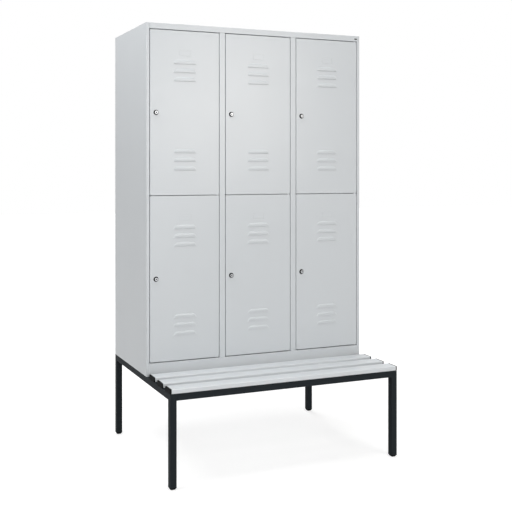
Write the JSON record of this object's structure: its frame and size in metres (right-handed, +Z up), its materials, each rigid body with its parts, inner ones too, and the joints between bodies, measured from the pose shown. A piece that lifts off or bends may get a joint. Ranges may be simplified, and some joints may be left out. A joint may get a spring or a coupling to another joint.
{
  "type": "locker with bench",
  "caption": "Steel changing-room locker with hinged doors in three columns and two tiers, on a square-tube frame whose front carries seat slats.",
  "frame": {"origin": "on the floor, under the middle of the whole object", "axes": "+X along the doors to the hinge side, -Y out of the doors over the bench, +Z up"},
  "size_m": [1.185, 0.815, 2.1003],
  "materials": {
    "cabinet_grey": "satin light grey powder coat",
    "slat_grey": "satin light grey",
    "frame_anthracite": "satin anthracite powder coat",
    "black_plastic": "matt black",
    "chrome": "polished nickel plating",
    "zinc": "zinc-plated steel"
  },
  "bodies": {
    "cabinet": {"left_side_panel": "cabinet_grey", "right_side_panel": "cabinet_grey", "back_panel": "cabinet_grey", "roof_panel": "cabinet_grey", "floor_panel": "cabinet_grey", "blank_plate": "black_plastic", "partition_1": "cabinet_grey", "partition_2": "cabinet_grey", "shelf_1": "cabinet_grey", "shelf_2": "cabinet_grey", "shelf_3": "cabinet_grey", "coat_rail_lower_1": "zinc", "coat_rail_lower_2": "zinc", "coat_rail_lower_3": "zinc", "coat_rail_upper_1": "zinc", "coat_rail_upper_2": "zinc", "coat_rail_upper_3": "zinc", "left_side_frame": "frame_anthracite", "right_side_frame": "frame_anthracite", "front_rail": "frame_anthracite", "cross_rail": "frame_anthracite", "rear_rail": "frame_anthracite", "foot_front_left": "black_plastic", "foot_rear_left": "black_plastic", "foot_front_right": "black_plastic", "foot_rear_right": "black_plastic", "slat_1": "slat_grey", "slat_2": "slat_grey", "slat_3": "slat_grey", "slat_cap_left_1": "black_plastic", "slat_cap_left_2": "black_plastic", "slat_cap_left_3": "black_plastic", "slat_cap_right_1": "black_plastic", "slat_cap_right_2": "black_plastic", "slat_cap_right_3": "black_plastic"},
    "door_lower_1": {"door_lower_1": "cabinet_grey", "lock_body_lower_1": "black_plastic"},
    "lock_lower_1": {"lock_cylinder_lower_1": "chrome"},
    "hook_lower_1": {"coat_hook_lower_1": "chrome"},
    "door_lower_2": {"door_lower_2": "cabinet_grey", "lock_body_lower_2": "black_plastic"},
    "lock_lower_2": {"lock_cylinder_lower_2": "chrome"},
    "hook_lower_2": {"coat_hook_lower_2": "chrome"},
    "door_lower_3": {"door_lower_3": "cabinet_grey", "lock_body_lower_3": "black_plastic"},
    "lock_lower_3": {"lock_cylinder_lower_3": "chrome"},
    "hook_lower_3": {"coat_hook_lower_3": "chrome"},
    "door_upper_1": {"door_upper_1": "cabinet_grey", "lock_body_upper_1": "black_plastic"},
    "lock_upper_1": {"lock_cylinder_upper_1": "chrome"},
    "hook_upper_1": {"coat_hook_upper_1": "chrome"},
    "door_upper_2": {"door_upper_2": "cabinet_grey", "lock_body_upper_2": "black_plastic"},
    "lock_upper_2": {"lock_cylinder_upper_2": "chrome"},
    "hook_upper_2": {"coat_hook_upper_2": "chrome"},
    "door_upper_3": {"door_upper_3": "cabinet_grey", "lock_body_upper_3": "black_plastic"},
    "lock_upper_3": {"lock_cylinder_upper_3": "chrome"},
    "hook_upper_3": {"coat_hook_upper_3": "chrome"}
  },
  "joints": [
    {"name": "door_lower_1_hinge", "type": "hinge", "parent": "cabinet", "child": "door_lower_1", "pos_m": [-0.2255, -0.0865, 0.4853], "axis": [0, 0, 1], "range_deg": [0, 110]},
    {"name": "lock_lower_1_turn", "type": "hinge", "parent": "door_lower_1", "child": "lock_lower_1", "pos_m": [-0.5445, -0.0925, 0.8803], "axis": [0, 1, 0], "range_deg": [0, 90]},
    {"name": "hook_lower_1_slide", "type": "slide", "parent": "cabinet", "child": "hook_lower_1", "axis": [1, 0, 0], "range_m": [-0.19, 0.19]},
    {"name": "door_lower_2_hinge", "type": "hinge", "parent": "cabinet", "child": "door_lower_2", "pos_m": [0.1695, -0.0865, 0.4853], "axis": [0, 0, 1], "range_deg": [0, 110]},
    {"name": "lock_lower_2_turn", "type": "hinge", "parent": "door_lower_2", "child": "lock_lower_2", "pos_m": [-0.1495, -0.0925, 0.8803], "axis": [0, 1, 0], "range_deg": [0, 90]},
    {"name": "hook_lower_2_slide", "type": "slide", "parent": "cabinet", "child": "hook_lower_2", "axis": [1, 0, 0], "range_m": [-0.19, 0.19]},
    {"name": "door_lower_3_hinge", "type": "hinge", "parent": "cabinet", "child": "door_lower_3", "pos_m": [0.5645, -0.0865, 0.4853], "axis": [0, 0, 1], "range_deg": [0, 110]},
    {"name": "lock_lower_3_turn", "type": "hinge", "parent": "door_lower_3", "child": "lock_lower_3", "pos_m": [0.2455, -0.0925, 0.8803], "axis": [0, 1, 0], "range_deg": [0, 90]},
    {"name": "hook_lower_3_slide", "type": "slide", "parent": "cabinet", "child": "hook_lower_3", "axis": [1, 0, 0], "range_m": [-0.19, 0.19]},
    {"name": "door_upper_1_hinge", "type": "hinge", "parent": "cabinet", "child": "door_upper_1", "pos_m": [-0.2255, -0.0865, 1.2783], "axis": [0, 0, 1], "range_deg": [0, 110]},
    {"name": "lock_upper_1_turn", "type": "hinge", "parent": "door_upper_1", "child": "lock_upper_1", "pos_m": [-0.5445, -0.0925, 1.6733], "axis": [0, 1, 0], "range_deg": [0, 90]},
    {"name": "hook_upper_1_slide", "type": "slide", "parent": "cabinet", "child": "hook_upper_1", "axis": [1, 0, 0], "range_m": [-0.19, 0.19]},
    {"name": "door_upper_2_hinge", "type": "hinge", "parent": "cabinet", "child": "door_upper_2", "pos_m": [0.1695, -0.0865, 1.2783], "axis": [0, 0, 1], "range_deg": [0, 110]},
    {"name": "lock_upper_2_turn", "type": "hinge", "parent": "door_upper_2", "child": "lock_upper_2", "pos_m": [-0.1495, -0.0925, 1.6733], "axis": [0, 1, 0], "range_deg": [0, 90]},
    {"name": "hook_upper_2_slide", "type": "slide", "parent": "cabinet", "child": "hook_upper_2", "axis": [1, 0, 0], "range_m": [-0.19, 0.19]},
    {"name": "door_upper_3_hinge", "type": "hinge", "parent": "cabinet", "child": "door_upper_3", "pos_m": [0.5645, -0.0865, 1.2783], "axis": [0, 0, 1], "range_deg": [0, 110]},
    {"name": "lock_upper_3_turn", "type": "hinge", "parent": "door_upper_3", "child": "lock_upper_3", "pos_m": [0.2455, -0.0925, 1.6733], "axis": [0, 1, 0], "range_deg": [0, 90]},
    {"name": "hook_upper_3_slide", "type": "slide", "parent": "cabinet", "child": "hook_upper_3", "axis": [1, 0, 0], "range_m": [-0.19, 0.19]}
  ]
}
